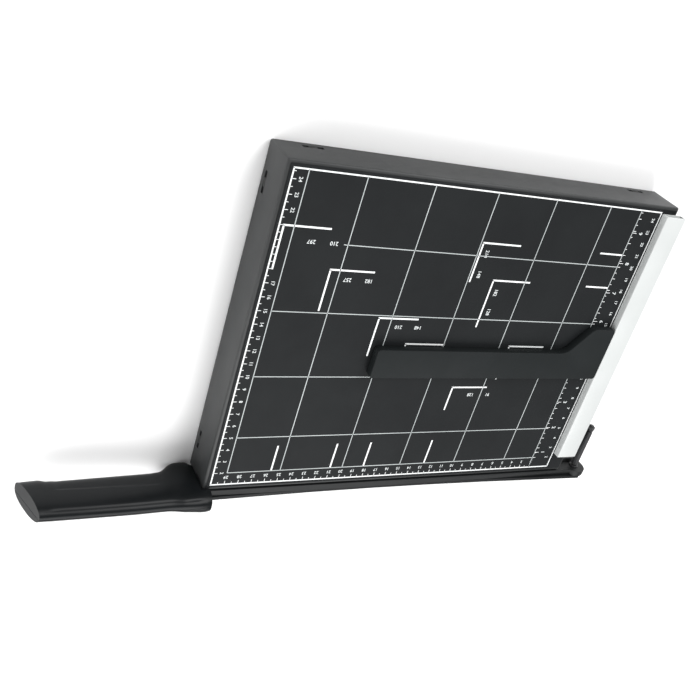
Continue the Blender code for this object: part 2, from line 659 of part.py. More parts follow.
# Stations along the handle: y, underside z, top z, middle x, half-thickness, squareness of the
# section below and above its middle (2 is an ellipse, 5 nearly a rectangle).
HANDLE_STATIONS = (
    (-430.0, -20.5, 12.5, -0.4, 7.8, 2.5, 2.1),
    (-423.0, -20.5, 12.5, -0.4, 7.8, 2.5, 2.1),
    (-410.0, -21.7, 12.2, -0.4, 7.8, 2.5, 2.1),
    (-406.5, -19.8, 12.2, -0.4, 7.8, 2.5, 2.1),
    (-385.0, -20.8, 12.0, -0.4, 7.8, 2.6, 2.1),
    (-355.0, -21.9, 11.6, -0.4, 7.8, 2.9, 2.1),
    (-332.0, -22.8, 10.6, -0.4, 7.8, 3.1, 2.1),
    (-327.0, -24.4, 10.5, -0.3, 7.8, 3.6, 2.2),
    (-322.0, -28.4, 11.0, -0.2, 7.9, 4.6, 2.4),
    (-317.0, -30.4, 11.4, 0.0, 8.1, 5.2, 2.6),
    (-309.2, -30.7, 11.0, 0.7, 8.9, 5.6, 2.5),
    (-306.4, -27.4, 10.8, 1.0, 9.2, 5.6, 2.5),
    (-302.0, -27.0, 10.4, 1.1, 9.4, 5.6, 2.5),
    (HANDLE_REAR, -25.0, 9.2, 1.1, 8.8, 5.6, 2.5),
)
HANDLE_SECTION = 24


def power(value, exponent):
    return math.copysign(abs(value) ** exponent, value)


def handle_ring(station):
    """Leaning superellipse section whose upper and lower halves have their own squareness."""
    y, low, high, middle_x, half, square_low, square_high = station
    middle_z = 0.5 * (low + high)
    half_height = 0.5 * (high - low)
    ring = []
    for k in range(HANDLE_SECTION):
        angle = 2.0 * math.pi * (k + 0.5) / HANDLE_SECTION
        square = square_high if math.sin(angle) > 0.0 else square_low
        rise = power(math.sin(angle), 2.0 / square)
        x = middle_x + HANDLE_LEAN * rise + half * power(math.cos(angle), 2.0 / square)
        ring.append((x, y, middle_z + half_height * rise))
    return ring


def make_handle_half(name, side, looks):
    """One half shell: side -1 is towards the bed, +1 away from it."""
    mesh_edit = bmesh.new()
    rings = [[mesh_edit.verts.new(point) for point in handle_ring(station)]
             for station in HANDLE_STATIONS]
    mesh_edit.faces.new(rings[0][::-1])
    mesh_edit.faces.new(rings[-1])
    for lower, upper in zip(rings, rings[1:]):
        for i in range(HANDLE_SECTION):
            j = (i + 1) % HANDLE_SECTION
            mesh_edit.faces.new((lower[i], lower[j], upper[j], upper[i]))
    seam = (HANDLE_MIDDLE + side * 0.5 * GAP, 0.0, 0.0)
    tip = (0.0, HANDLE_TIP, HANDLE_STATIONS[0][1])
    slant = HANDLE_TIP_SLANT / (HANDLE_STATIONS[0][2] - HANDLE_STATIONS[0][1])
    for point, normal in ((seam, (-side, 0.0, 0.0)), (tip, (0.0, -1.0, slant))):
        geometry = mesh_edit.verts[:] + mesh_edit.edges[:] + mesh_edit.faces[:]
        cut_line = bmesh.ops.bisect_plane(mesh_edit, geom=geometry, plane_co=point, plane_no=normal,
                                          clear_outer=True)["geom_cut"]
        edges = [item for item in cut_line if isinstance(item, bmesh.types.BMEdge)]
        bmesh.ops.edgeloop_fill(mesh_edit, edges=edges)
    half = finish_object(name, mesh_edit, looks["handle_plastic"], 38.0)
    tang = boxes(name + "_tang_slot", [((ARM_INNER - GAP, TANG_TIP - 1.0, TANG_BOTTOM - GAP),
                                        (ARM_OUTER + GAP, HANDLE_REAR + 5.0, TANG_TOP + GAP))])
    cut(half, tang)
    return half


def make_handle(looks):
    left = make_handle_half("handle_left", -1.0, looks)
    clear_of_bed = boxes("handle_bed_clearance", [((-20.0, COLLAR_CLEAR_Y, -60.0),
                                                   (HANDLE_MIDDLE + 1.0, HANDLE_REAR + 5.0,
                                                    COLLAR_REST_Z))])
    cut(left, clear_of_bed)
    right = make_handle_half("handle_right", 1.0, looks)
    places = [(HANDLE_MIDDLE, y, HANDLE_SCREW_Z) for y in HANDLE_SCREW_Y]
    cut(left, holes("handle_left_holes", HANDLE_THREAD_BORE, places, (1, 0, 0), HANDLE_HOLE_DEPTH))
    outside = COLLAR_HALF + OVERRUN
    seat = [(-OVERRUN, 0.0), (-OVERRUN, HANDLE_SHANK_BORE), (HANDLE_HEAD_SEAT, HANDLE_SHANK_BORE),
            (HANDLE_HEAD_SEAT, HANDLE_HEAD_BORE), (outside, HANDLE_HEAD_BORE), (outside, 0.0)]
    cut(right, turned("handle_right_holes", seat, places, (1, 0, 0)))
    head_seat = HANDLE_MIDDLE + HANDLE_HEAD_SEAT + GAP
    repeated("handle_screw", pan_screw(HANDLE_SCREW, HANDLE_SCREW_LENGTH),
             [((head_seat, y, HANDLE_SCREW_Z), (-1, 0, 0)) for y in HANDLE_SCREW_Y], looks["zinc"], 14)


# ---------------------------------------------------------------- assembly

def parent_to_axis(names, axis_name, location):
    """Moving pieces hang from an empty on their joint's axis."""
    empty = bpy.data.objects.new(axis_name, None)
    empty.location = part_frame(*location)
    bpy.context.scene.collection.objects.link(empty)
    bpy.context.view_layer.update()
    for piece in bpy.data.objects:
        if not piece.name.startswith(names) or piece.hide_render:
            continue
        piece.parent = empty
        piece.matrix_parent_inverse = empty.matrix_world.inverted()


def main():
    clear_scene()
    looks = make_materials()
    make_tray(looks)
    make_film(looks)
    for name, x_side, y_side in (("foot_front_left", -1, -1), ("foot_front_right", 1, -1),
                                 ("foot_rear_left", -1, 1), ("foot_rear_right", 1, 1)):
        make_foot(name, x_side, y_side, looks)
    make_lower_bar(looks)
    make_bracket(looks)
    make_hidden_screws(looks)
    make_fence(looks)
    make_guide(looks)
    make_arm(looks)
    make_pivot(looks)
    make_spring(looks)
    make_handle(looks)
    parent_to_axis(("cutting_arm", "handle_", "pivot_bolt", "pivot_washer_outer", "pivot_nut"),
                   "arm_hinge_axis", (0.0, PIVOT_Y, PIVOT_Z))
    parent_to_axis(("paper_guide", "guide_magnet_1", "guide_magnet_2", "guide_magnet_3"),
                   "guide_slide_axis", (GUIDE_LEFT, GUIDE_BACK, 0.0))


main()
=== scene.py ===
"""Looks of the guillotine paper cutter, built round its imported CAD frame.

Lengths are in millimetres in the bench frame, whose origin is the zero of the rulers on the bed's
film: +X points past the cut, +Y to the pivot end, +Z up. place() turns them into metres.
"""

import json
import math

import bmesh
import bpy
from mathutils import Matrix, Vector


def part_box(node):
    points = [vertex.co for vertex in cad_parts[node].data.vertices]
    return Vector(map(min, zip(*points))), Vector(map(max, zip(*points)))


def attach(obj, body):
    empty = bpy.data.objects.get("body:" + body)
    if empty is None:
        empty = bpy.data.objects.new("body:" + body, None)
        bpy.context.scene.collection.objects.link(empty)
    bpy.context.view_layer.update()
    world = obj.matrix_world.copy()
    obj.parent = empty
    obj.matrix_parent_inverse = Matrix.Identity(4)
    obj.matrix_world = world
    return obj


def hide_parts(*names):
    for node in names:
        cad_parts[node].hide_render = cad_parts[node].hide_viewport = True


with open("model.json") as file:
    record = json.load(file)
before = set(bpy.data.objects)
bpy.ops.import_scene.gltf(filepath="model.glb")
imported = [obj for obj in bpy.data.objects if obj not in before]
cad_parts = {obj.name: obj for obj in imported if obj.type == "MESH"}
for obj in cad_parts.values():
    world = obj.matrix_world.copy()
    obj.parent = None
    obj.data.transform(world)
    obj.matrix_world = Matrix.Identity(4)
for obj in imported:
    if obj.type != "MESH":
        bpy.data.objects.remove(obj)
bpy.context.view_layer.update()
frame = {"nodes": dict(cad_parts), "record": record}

NODES = frame["nodes"]
MM = 0.001

# The bench frame's origin, read from the CAD: the cut, a gap before the fence, the film's top.
FENCE_GAP = 0.9
BENCH = Vector((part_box("fixed_blade")[1].x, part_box("fence")[0].y - FENCE_GAP * MM,
                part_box("grid_sheet")[1].z))


def place(x, y, z=0.0):
    """Point of the frame, in metres, from bench millimetres."""
    return BENCH + Vector((x, y, z)) * MM


def bench_box(node):
    """Lowest and highest corners of a CAD node in bench millimetres."""
    low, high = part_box(node)
    return (low - BENCH) / MM, (high - BENCH) / MM


# ---------------------------------------------------------------- materials

NOISE_ROUGHNESS = 0.55
RAMP_START, RAMP_END = 0.35, 0.65
DRIFT_SCALE = 22.0         # features per metre of the slow change in colour
SHEEN_SCALE = 60.0         # and of the change in roughness
GRAIN_DETAIL = 2.0
BRUSH_SCALE = 420.0
BRUSH_STRENGTH = 0.15
BRUSH_DEPTH = 0.00003


def shader_of(name):
    """New material, its node tree and its shader."""
    made = bpy.data.materials.new(name)
    made.use_nodes = True
    return made, made.node_tree, made.node_tree.nodes["Principled BSDF"]


def noise(tree, scale, detail=4.0):
    """Noise in object space, with scale in features per metre."""
    place_node = tree.nodes.new("ShaderNodeTexCoord")
    texture = tree.nodes.new("ShaderNodeTexNoise")
    texture.inputs["Scale"].default_value = scale
    texture.inputs["Detail"].default_value = detail
    texture.inputs["Roughness"].default_value = NOISE_ROUGHNESS
    tree.links.new(place_node.outputs["Object"], texture.inputs["Vector"])
    return texture.outputs["Fac"]


def ramp(tree, value, low, high):
    """Colour from low to high as value goes from the ramp's start to its end."""
    made = tree.nodes.new("ShaderNodeValToRGB")
    made.color_ramp.elements[0].position = RAMP_START
    made.color_ramp.elements[0].color = (*low, 1.0)
    made.color_ramp.elements[1].position = RAMP_END
    made.color_ramp.elements[1].color = (*high, 1.0)
    tree.links.new(value, made.inputs["Fac"])
    return made.outputs["Color"]


def span(tree, value, low, high):
    """Value of 0 to 1 stretched over low to high."""
    made = tree.nodes.new("ShaderNodeMapRange")
    made.inputs["To Min"].default_value = low
    made.inputs["To Max"].default_value = high
    tree.links.new(value, made.inputs["Value"])
    return made.outputs["Result"]


def bump(tree, shader, height, strength, distance):
    """Relief of the shader's surface; distance is in metres."""
    made = tree.nodes.new("ShaderNodeBump")
    made.inputs["Strength"].default_value = strength
    made.inputs["Distance"].default_value = distance
    tree.links.new(height, made.inputs["Height"])
    tree.links.new(made.outputs["Normal"], shader.inputs["Normal"])


def grained(name, low, high, rough, grain, strength, distance, metallic=0.0, specular=0.5):
    """Surface whose colour and roughness drift slowly and whose fine grain is in its bump."""
    made, tree, shader = shader_of(name)
    drift = noise(tree, DRIFT_SCALE)
    tree.links.new(ramp(tree, drift, low, high), shader.inputs["Base Color"])
    tree.links.new(span(tree, noise(tree, SHEEN_SCALE), *rough), shader.inputs["Roughness"])
    shader.inputs["Metallic"].default_value = metallic
    shader.inputs["Specular IOR Level"].default_value = specular
    bump(tree, shader, noise(tree, grain, GRAIN_DETAIL), strength, distance)
    return made


def brushed(name, low, high, rough, along=(1.0, 12.0, 12.0)):
    """Metal with fine lines drawn along one axis."""
    made, tree, shader = shader_of(name)
    coords = tree.nodes.new("ShaderNodeTexCoord")
    stretch = tree.nodes.new("ShaderNodeMapping")
    stretch.inputs["Scale"].default_value = along
    lines = tree.nodes.new("ShaderNodeTexNoise")
    lines.inputs["Scale"].default_value = BRUSH_SCALE
    tree.links.new(coords.outputs["Object"], stretch.inputs["Vector"])
    tree.links.new(stretch.outputs["Vector"], lines.inputs["Vector"])
    tree.links.new(ramp(tree, lines.outputs["Fac"], low, high), shader.inputs["Base Color"])
    tree.links.new(span(tree, lines.outputs["Fac"], *rough), shader.inputs["Roughness"])
    shader.inputs["Metallic"].default_value = 1.0
    bump(tree, shader, lines.outputs["Fac"], BRUSH_STRENGTH, BRUSH_DEPTH)
    return made


# Each grained look: material name, darkest and lightest colour, range of roughness, grain in
# features per metre, and the strength and depth of its bump.
LOOKS = {
    "black_paint": grained(
        "bed_powder_coat", (0.0158, 0.0174, 0.0180), (0.0222, 0.0237, 0.0243), (0.44, 0.56),
        2600.0, 0.22, 0.00006, specular=0.50),
    "printed_film": grained(
        "satin_film", (0.0076, 0.0087, 0.0096), (0.0099, 0.0113, 0.0122), (0.54, 0.64),
        3400.0, 0.10, 0.00003, specular=0.16),
    "print_white": grained(
        "print_white", (0.8060, 0.8370, 0.8370), (0.8600, 0.8600, 0.8600), (0.52, 0.62),
        3000.0, 0.06, 0.00002),
    "print_grey": grained(
        "print_thin_line", (0.3875, 0.4185, 0.4185), (0.4960, 0.5270, 0.5270), (0.52, 0.62),
        3000.0, 0.06, 0.00002),
    "print_number": grained(
        "print_number", (0.6200, 0.6510, 0.6510), (0.7440, 0.7750, 0.7750), (0.52, 0.62),
        3000.0, 0.06, 0.00002),
    "blade_steel": grained(
        "blade_paint", (0.0074, 0.0085, 0.0091), (0.0110, 0.0121, 0.0127), (0.42, 0.54),
        1800.0, 0.18, 0.00005, specular=0.23),
    "knife_paint": grained(
        "knife_paint", (0.0053, 0.0060, 0.0067), (0.0084, 0.0095, 0.0101), (0.46, 0.58),
        1800.0, 0.18, 0.00005, specular=0.22),
    "white_plastic": grained(
        "fence_white", (0.540, 0.558, 0.553), (0.572, 0.590, 0.585), (0.34, 0.44),
        1500.0, 0.06, 0.00003),
    "black_plastic": grained(
        "guide_plastic", (0.0082, 0.0104, 0.0109), (0.0113, 0.0135, 0.0143), (0.56, 0.68),
        2200.0, 0.30, 0.00006, specular=0.17),
    "handle_plastic": grained(
        "handle_plastic", (0.0037, 0.0047, 0.0055), (0.0053, 0.0063, 0.0071), (0.28, 0.38),
        1500.0, 0.08, 0.00003, specular=0.17),
    "foot_rubber": grained(
        "foot_rubber", (0.0186, 0.0186, 0.0186), (0.0310, 0.0310, 0.0310), (0.76, 0.88),
        1600.0, 0.40, 0.00010),
    "magnet": grained(
        "ferrite", (0.1085, 0.1085, 0.1147), (0.1705, 0.1705, 0.1767), (0.55, 0.70),
        2400.0, 0.30, 0.00006),
    "zinc": brushed("zinc_plate", (0.46, 0.47, 0.48), (0.62, 0.63, 0.64), (0.28, 0.42)),
    "black_oxide": grained(
        "black_oxide", (0.0248, 0.0256, 0.0279), (0.0403, 0.0411, 0.0434), (0.34, 0.46),
        2200.0, 0.20, 0.00004, metallic=0.3, specular=0.46),
    "ground_edge": brushed("ground_edge", (0.50, 0.51, 0.52), (0.66, 0.67, 0.68), (0.22, 0.34),
                           (12.0, 1.0, 12.0)),
}


# ---------------------------------------------------------------- mesh helpers

SMOOTH_ANGLE = 35.0        # edges sharper than this stay sharp


def to_object(name, mesh_edit, look, body, smooth=SMOOTH_ANGLE, replaces=()):
    """Bench-millimetre bmesh to a finished piece on its body."""
    for vert in mesh_edit.verts:
        vert.co = place(*vert.co)
    bmesh.ops.recalc_face_normals(mesh_edit, faces=mesh_edit.faces[:])
    mesh = bpy.data.meshes.new(name)
    mesh_edit.to_mesh(mesh)
    mesh_edit.free()
    made = bpy.data.objects.new(name, mesh)
    bpy.context.scene.collection.objects.link(made)
    mesh.materials.append(LOOKS[look])
    mesh.shade_smooth()
    mesh.set_sharp_from_angle(angle=math.radians(smooth))
    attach(made, body)
    if replaces:
        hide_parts(*replaces)
    return made


BOX_FACES = ((0, 2, 3, 1), (4, 5, 7, 6), (0, 1, 5, 4), (2, 6, 7, 3), (0, 4, 6, 2), (1, 3, 7, 5))


def add_box(mesh_edit, low, high):
    """Box from its lowest to its highest corner."""
    corners = [mesh_edit.verts.new((x, y, z)) for z in (low[2], high[2])
               for y in (low[1], high[1]) for x in (low[0], high[0])]
    for face in BOX_FACES:
        mesh_edit.faces.new([corners[i] for i in face])


def bridge(mesh_edit, lower, upper):
    """Band of faces between two closed rings of the same count, or a fan if one is a point."""
    count = max(len(lower), len(upper))
    for k in range(count):
        j = (k + 1) % count
        near = lower if len(lower) == 1 else [lower[k], lower[j]]
        far = upper if len(upper) == 1 else [upper[j], upper[k]]
        mesh_edit.faces.new(near + far)


def cap(mesh_edit, rings):
    """Faces that close the first and the last ring."""
    mesh_edit.faces.new(rings[0][::-1])
    mesh_edit.faces.new(rings[-1])


# ---------------------------------------------------------------- print on the film

PRINT_LIFT = 0.05          # the ink stands this far above the film
BORDER_FRONT = -300.0
BORDER_LEFT = -247.0
BORDER_RIGHT = -10.0
RULER_FRONT = -290.0       # inner lines of the three rulers
RULER_RIGHT = -20.0
RULER_BACK = -20.0
GRID_STEP = 50.0
THICK_LINE = 1.0
THIN_LINE = 0.62
TICK_LINE = 0.4
MARK_LINE = 1.25
MARK_SHORT_LEG = 22.0
CENTIMETRE = 10.0
INCH = 25.4
TICK_WHOLE = 3.0           # ticks at whole centimetres, between them, and at inches
TICK_HALF = 2.0
TICK_INCH = 4.2
FIRST_TICK = 4             # half centimetres from the rulers' zero
LAST_CM_FENCE = 24
LAST_CM_CUT = 29
LAST_INCH = 9
GRID_LINES_FENCE = 4
GRID_LINES_CUT = 5

# Numerals of the rulers: height, and distance of their middle from the line they belong to.
FRONT_NUMERAL, FRONT_NUMERAL_IN = 3.5, 5.9
FENCE_NUMERAL, FENCE_NUMERAL_Y = 3.6, -5.5
CUT_NUMERAL, CUT_NUMERAL_IN = 3.6, 6.2
INCH_NUMERAL, INCH_NUMERAL_Y = 4.8, -11.8
NUMERAL_RESOLUTION = 3
NUMERAL_FATTEN = 0.008     # share of its height that a numeral's outline is pushed out
ALONG_CUT = -90.0          # turn of the numerals that are read from the cut
COVERED_CM = (18, 19, 20, 21)   # the largest paper's mark takes their place on the front ruler

# Corner marks of standard papers laid against the fence and the cut: paper size along the fence and
# along the cut, length of the mark's legs in the same directions, distance from corner to numbers.
PAPER_MARKS = (
    (210, 297, 30.4, 32.5, 10.2),
    (182, 257, 30.4, 32.5, 3.1),
    (148, 210, 30.4, 31.5, 6.4),
    (210, 148, 30.4, 32.0, 3.6),
    (182, 128, 38.4, 32.6, 5.0),
    (128, 182, 25.0, 32.6, 6.4),
    (91, 128, 20.4, 31.5, 7.8),
    (128, 91, 29.6, 32.6, 5.0),
)
LARGEST_FENCE = 210
LABEL_SIZE = 3.9
LABEL_LENGTH = 31.5
LABEL_OFFSET = 5.6
LABEL_ASIDE = 1.0          # more offset where the numbers run along the cut
LABEL_ASIDE_LARGEST = 4.0
LABEL_FIRST = 4.6
LABEL_SECOND = 20.5
LABEL_GAP_END = -252.9     # a grid line starts here, clear of the largest paper's numbers
CUT_MARKS = (257.0, 210.0, 182.0, 128.0)
FENCE_MARKS = (210.0, 182.0)


def add_line(mesh_edit, x1, y1, x2, y2, width):
    """Printed bar between two points along X or Y."""
    half = 0.5 * width
    if x1 == x2:
        low, high = (x1 - half, min(y1, y2)), (x1 + half, max(y1, y2))
    else:
        low, high = (min(x1, x2), y1 - half), (max(x1, x2), y1 + half)
    add_box(mesh_edit, (*low, 0.0), (*high, PRINT_LIFT))


def make_border():
    """Thick frame round the film's print."""
    lines = bmesh.new()
    half = 0.5 * THICK_LINE
    add_line(lines, BORDER_LEFT, BORDER_FRONT - half, BORDER_LEFT, half, THICK_LINE)
    add_line(lines, BORDER_RIGHT, BORDER_FRONT - half, BORDER_RIGHT, half, THICK_LINE)
    add_line(lines, BORDER_LEFT, BORDER_FRONT, BORDER_RIGHT, BORDER_FRONT, THICK_LINE)
    add_line(lines, BORDER_LEFT, 0.0, BORDER_RIGHT, 0.0, THICK_LINE)
    return to_object("print_border", lines, "print_white", "base")


def make_grid():
    """Grid of 5 cm squares and the rulers' inner lines."""
    lines = bmesh.new()
    for i in range(1, GRID_LINES_CUT + 1):
        add_line(lines, BORDER_LEFT, -GRID_STEP * i, RULER_RIGHT, -GRID_STEP * i, THIN_LINE)
    for i in range(1, GRID_LINES_FENCE + 1):
        front = LABEL_GAP_END if i == GRID_LINES_FENCE else RULER_FRONT
        add_line(lines, -GRID_STEP * i, front, -GRID_STEP * i, RULER_BACK, THIN_LINE)
    add_line(lines, BORDER_LEFT, RULER_FRONT, RULER_RIGHT, RULER_FRONT, THIN_LINE)
    add_line(lines, RULER_RIGHT, RULER_FRONT, RULER_RIGHT, RULER_BACK, THIN_LINE)
    add_line(lines, BORDER_LEFT, RULER_BACK, BORDER_RIGHT, RULER_BACK, THIN_LINE)
    return to_object("print_grid", lines, "print_grey", "base")


def make_ticks():
    """Half-centimetre ticks, off the border at the front and the cut and off the inner line at the
    fence, where inches are ticked too."""
    lines = bmesh.new()
    for half_cm in range(FIRST_TICK, 2 * LAST_CM_FENCE + 2):
        x = -0.5 * CENTIMETRE * half_cm
        length = TICK_HALF if half_cm % 2 else TICK_WHOLE
        add_line(lines, x, BORDER_FRONT, x, BORDER_FRONT + length, TICK_LINE)
        add_line(lines, x, RULER_BACK, x, RULER_BACK + length, TICK_LINE)
    for half_cm in range(FIRST_TICK, 2 * LAST_CM_CUT + 2):
        y = -0.5 * CENTIMETRE * half_cm
        length = TICK_HALF if half_cm % 2 else TICK_WHOLE
        add_line(lines, BORDER_RIGHT, y, BORDER_RIGHT - length, y, TICK_LINE)
    for inch in range(1, LAST_INCH + 1):
        add_line(lines, -INCH * inch, RULER_BACK, -INCH * inch, RULER_BACK + TICK_INCH, TICK_LINE)
    return to_object("print_ticks", lines, "print_white", "base")


def make_marks():
    """Corner marks of the papers, and short marks of their sizes at the cut and the fence."""
    lines = bmesh.new()
    half = 0.5 * MARK_LINE
    for along_fence, along_cut, leg_x, leg_y, _ in PAPER_MARKS:
        x, y = -along_fence, -along_cut
        add_line(lines, x, y - half, x, y + leg_y, MARK_LINE)
        add_line(lines, x, y, x + leg_x, y, MARK_LINE)
    for along_cut in CUT_MARKS:
        add_line(lines, RULER_RIGHT, -along_cut, RULER_RIGHT - MARK_SHORT_LEG, -along_cut,
                 MARK_LINE)
    for along_fence in FENCE_MARKS:
        add_line(lines, -along_fence, RULER_BACK, -along_fence, RULER_BACK - MARK_SHORT_LEG,
                 MARK_LINE)
    return to_object("print_marks", lines, "print_white", "base")


def make_numbers():
    """Numerals of the rulers, and the two sizes in millimetres beside each paper's mark."""
    pieces = []

    def numeral(text, x, y, size, turn):
        curve = bpy.data.curves.new("numeral", "FONT")
        curve.body = text
        curve.size = size * MM
        curve.align_x = "CENTER"
        curve.align_y = "CENTER"
        curve.extrude = 0.5 * PRINT_LIFT * MM
        curve.offset = NUMERAL_FATTEN * size * MM
        curve.resolution_u = NUMERAL_RESOLUTION
        made = bpy.data.objects.new("numeral", curve)
        made.location = place(x, y, 0.5 * PRINT_LIFT)
        made.rotation_euler = (0.0, 0.0, math.radians(turn))
        bpy.context.scene.collection.objects.link(made)
        pieces.append(made)

    for cm in range(2, LAST_CM_FENCE + 1):
        if cm not in COVERED_CM:
            numeral(str(cm), -CENTIMETRE * cm, BORDER_FRONT + FRONT_NUMERAL_IN, FRONT_NUMERAL, 0.0)
        numeral(str(cm), -CENTIMETRE * cm, FENCE_NUMERAL_Y, FENCE_NUMERAL, 0.0)
    for cm in range(2, LAST_CM_CUT + 1):
        numeral(str(cm), BORDER_RIGHT - CUT_NUMERAL_IN, -CENTIMETRE * cm, CUT_NUMERAL, ALONG_CUT)
    for along_fence, along_cut, _, _, clear in PAPER_MARKS:
        if along_cut > along_fence:
            start = -along_cut + clear + LABEL_LENGTH
            aside = LABEL_ASIDE_LARGEST if along_fence == LARGEST_FENCE else LABEL_ASIDE
            x = -along_fence + LABEL_OFFSET + aside
            numeral(str(along_fence), x, start - LABEL_FIRST, LABEL_SIZE, ALONG_CUT)
            numeral(str(along_cut), x, start - LABEL_SECOND, LABEL_SIZE, ALONG_CUT)
        else:
            start = -along_fence + clear
            y = -along_cut + LABEL_OFFSET
            numeral(str(along_fence), start + LABEL_FIRST, y, LABEL_SIZE, 0.0)
            numeral(str(along_cut), start + LABEL_SECOND, y, LABEL_SIZE, 0.0)
    for inch in range(1, LAST_INCH + 1):
        numeral(str(inch), -INCH * inch, INCH_NUMERAL_Y, INCH_NUMERAL, 0.0)
    graph = bpy.context.evaluated_depsgraph_get()
    joined = bmesh.new()
    for piece in pieces:
        mesh = bpy.data.meshes.new_from_object(piece.evaluated_get(graph))
        mesh.transform(piece.matrix_world)
        joined.from_mesh(mesh)
        bpy.data.meshes.remove(mesh)
        bpy.data.objects.remove(piece)
    for vert in joined.verts:
        vert.co = (vert.co - BENCH) / MM
    return to_object("print_numbers", joined, "print_number", "base")


# ---------------------------------------------------------------- bed, fence and guide

EDGE_SEGMENTS = 2
MERGE_DISTANCE = 1e-7      # metres
FLAT_ANGLE = 0.6           # faces closer than this to one plane are merged
SHARP_ANGLE = 42.0

# Node, name of the finished piece, look, body and width of its rounded edges.
SHELLS = (
    ("base_tray", "bed_shell", "black_paint", "base", 0.45),
    ("fence", "fence_rail", "white_plastic", "base", 0.25),
    ("paper_guide", "guide_moulding", "black_plastic", "guide", 0.3),
    ("pivot_bracket", "pivot_angle", "black_paint", "base", 0.35),
    ("fixed_blade", "lower_blade", "blade_steel", "base", 0.22),
    ("foot_front_left", "corner_foot_front_left", "foot_rubber", "base", 0.5),
    ("foot_front_right", "corner_foot_front_right", "foot_rubber", "base", 0.5),
    ("foot_rear_left", "corner_foot_rear_left", "foot_rubber", "base", 0.5),
    ("foot_rear_right", "corner_foot_rear_right", "foot_rubber", "base", 0.5),
)


def rounded_from(node, name, look, body, width, angle=40.0, slot=None):
    """Finer copy of a CAD node, whose edges are rounded where faces meet past the angle."""
    mesh = NODES[node].data.copy()
    mesh.name = name
    mesh.materials.clear()
    mesh.materials.append(LOOKS[look])
    edit = bmesh.new()
    edit.from_mesh(mesh)
    bmesh.ops.remove_doubles(edit, verts=edit.verts[:], dist=MERGE_DISTANCE)
    bmesh.ops.dissolve_limit(edit, angle_limit=math.radians(FLAT_ANGLE), verts=edit.verts[:],
                             edges=edit.edges[:])
    edit.to_mesh(mesh)
    edit.free()
    made = bpy.data.objects.new(name, mesh)
    bpy.context.scene.collection.objects.link(made)
    modifier = made.modifiers.new("edges", "BEVEL")
    modifier.width = width * MM
    modifier.segments = EDGE_SEGMENTS
    modifier.limit_method = "ANGLE"
    modifier.angle_limit = math.radians(angle)
    modifier.harden_normals = False
    mesh.shade_smooth()
    mesh.set_sharp_from_angle(angle=math.radians(SHARP_ANGLE))
    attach(made, body)
    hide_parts(node)
    return made


def make_shells():
    """Bed, fence, guide, bracket, bar and feet, with the edges that folding and moulding leave."""
    for row in SHELLS:
        rounded_from(*row)


# ---------------------------------------------------------------- knife arm and pivot

PIVOT = 0.5 * (bench_box("pivot_bolt")[0] + bench_box("pivot_bolt")[1])
PIVOT_FOOT = (0.0, PIVOT.y, PIVOT.z)
ALONG_X = (1, 0, 0)
TURNED_SIDES = 48

KNIFE_EDGE = 0.18
KNIFE_EDGE_ANGLE = 30.0
GROUND_FACING = 0.2        # least outward and downward facing of the ground bevel

BOLT_SHANK = 1.75
BOLT_SHOULDER = 2.5
BOLT_HEAD = 4.55
BOLT_TIP = 0.45
BOLT_STEP_X = -4.2         # the shoulder starts here
BOLT_STEP = 0.2
BOLT_HEAD_TALL = 1.4
BOLT_HEAD_EDGE = 0.12
SOCKET = 1.75              # hexagon recess in the bolt's head
SOCKET_DEEP = 1.5
SOCKET_CUT = 3.0
WASHER_CLEAR = 0.35
WASHER_EDGE = 0.15
NUT_EDGE = 0.14

SPRING_WIRE = 0.6          # radius
SPRING_MEAN = 2.62
SPRING_TURNS = 27
SPRING_STEPS = 24          # rings of the wire in a turn
SPRING_SIDES = 10
SPRING_CLEAR = 0.02
SPRING_SMOOTH = 60.0


def lathe(name, profile, foot, axis, look, body, node, sides=TURNED_SIDES):
    """Turned piece from (distance along the axis, radius) pairs; a ring if no radius is 0."""
    edit = bmesh.new()
    axis = Vector(axis).normalized()
    side = axis.orthogonal().normalized()
    spokes = [Matrix.Rotation(2.0 * math.pi * k / sides, 3, axis) @ side for k in range(sides)]
    rings = []
    for along, radius in profile:
        middle = Vector(foot) + axis * along
        points = [middle + spoke * radius for spoke in spokes] if radius > 0.0 else [middle]
        rings.append([edit.verts.new(point) for point in points])
    if all(radius > 0.0 for _, radius in profile):
        rings.append(rings[0])
    for lower, upper in zip(rings, rings[1:]):
        bridge(edit, lower, upper)
    return to_object(name, edit, look, body, replaces=(node,))


def make_knife():
    """Knife arm whose ground bevel is bare steel."""
    knife = rounded_from("cutting_arm", "knife_arm", "knife_paint", "arm", KNIFE_EDGE,
                         KNIFE_EDGE_ANGLE, "blade_steel")
    knife.data.materials.append(LOOKS["ground_edge"])
    for face in knife.data.polygons:
        if face.normal.x > GROUND_FACING and face.normal.z < -GROUND_FACING:
            face.material_index = 1
    return knife


